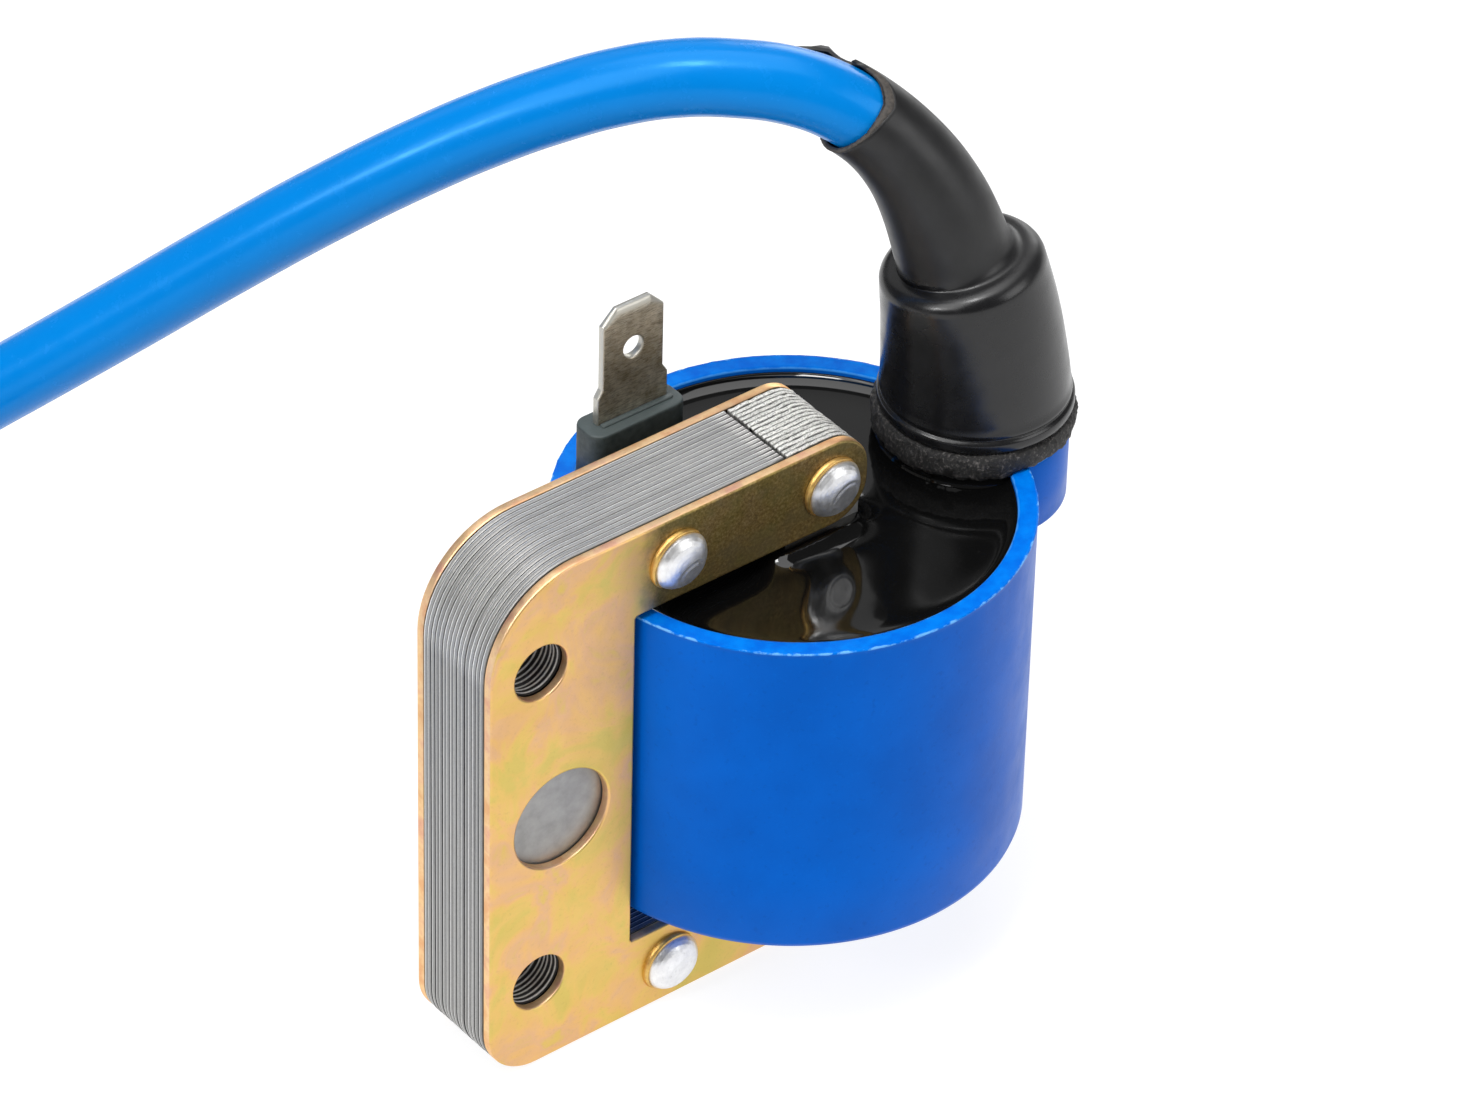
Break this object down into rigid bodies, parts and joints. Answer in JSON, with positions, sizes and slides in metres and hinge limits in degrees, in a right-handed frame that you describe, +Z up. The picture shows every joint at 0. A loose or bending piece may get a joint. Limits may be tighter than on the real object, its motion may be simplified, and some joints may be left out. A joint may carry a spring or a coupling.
{
  "type": "ignition coil",
  "caption": "Potted high-voltage coil in a cup on a C-shaped riveted laminated core, with a tab terminal and a capped lead.",
  "frame": {"origin": "on the floor, under the middle of the coil without its lead, at the level of the stack's lower face", "axes": "+Z up along the cup, +X from the yoke's upright leg towards the high-voltage boss, +Y through the stack towards the primary terminal"},
  "size_m": [0.1849, 0.0844, 0.0792],
  "materials": {
    "housing_plastic": "semi-gloss moulded plastic",
    "potting_resin": "high gloss cast resin",
    "lamination_steel": "bare sheared sheet edges",
    "passivated_steel": "yellow passivated zinc plate",
    "rivet_aluminium": "satin",
    "bobbin_plastic": "matte",
    "enamelled_wire": "enamelled copper",
    "insulation_film": "glossy film",
    "block_plastic": "matte moulded plastic",
    "tinned_steel": "rolled tin plate",
    "contact_brass": "turned",
    "seal_compound": "rough cured sealant",
    "cap_rubber": "smooth satin rubber",
    "lead_sheath": "satin extruded sheath",
    "copper_strand": "bare copper strand"
  },
  "bodies": {
    "root": {"housing": "housing_plastic", "potting_compound": "potting_resin", "yoke_lamination_pack": "lamination_steel", "core_lamination_pack": "lamination_steel", "front_cheek_plate": "passivated_steel", "rear_cheek_plate": "passivated_steel", "upper_yoke_rivet": "rivet_aluminium", "upper_core_rivet": "rivet_aluminium", "lower_yoke_rivet": "rivet_aluminium", "lower_core_rivet": "rivet_aluminium", "primary_bobbin": "bobbin_plastic", "primary_winding": "enamelled_wire", "winding_insulation": "insulation_film", "secondary_bobbin": "bobbin_plastic", "secondary_winding": "enamelled_wire", "terminal_block": "block_plastic", "primary_terminal": "tinned_steel", "primary_lead_wire": "enamelled_wire", "ground_wire": "enamelled_wire", "secondary_lead_wire": "enamelled_wire", "hv_contact": "contact_brass", "cap_seal": "seal_compound", "hv_lead_cap": "cap_rubber", "hv_lead": "lead_sheath", "hv_lead_coil": "lead_sheath", "hv_lead_conductor": "copper_strand"}
  },
  "joints": []
}
